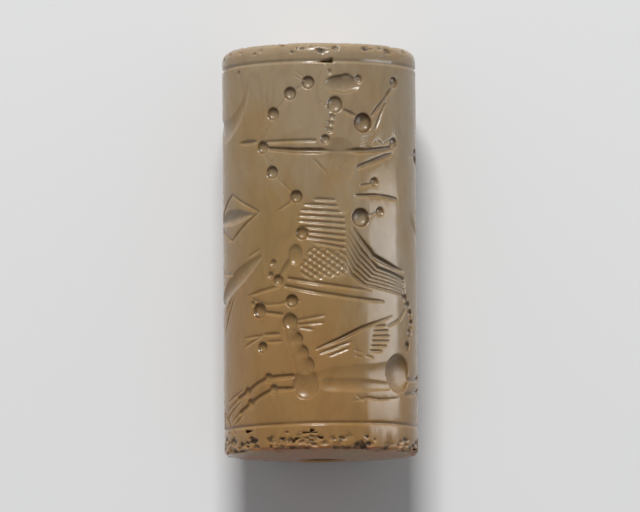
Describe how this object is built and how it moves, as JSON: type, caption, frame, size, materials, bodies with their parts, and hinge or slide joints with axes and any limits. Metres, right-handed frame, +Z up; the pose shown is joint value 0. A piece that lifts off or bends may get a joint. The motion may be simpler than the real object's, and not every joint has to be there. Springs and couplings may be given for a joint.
{
  "type": "cylinder seal",
  "caption": "Engraved cylinder seal of translucent brown chalcedony, bored lengthwise, lying on its side.",
  "frame": {"origin": "on the table, below the middle of the lying stone", "axes": "+Y along the bore towards the upper end of the engraved scene, +Z up through the middle of the front, +X to the right as the front is looked down on"},
  "size_m": [0.0184, 0.0388, 0.0183],
  "materials": {
    "chalcedony": "polished, waxy and slightly translucent warm brown chalcedony"
  },
  "bodies": {
    "root": {"seal_stone": "chalcedony"}
  },
  "joints": []
}
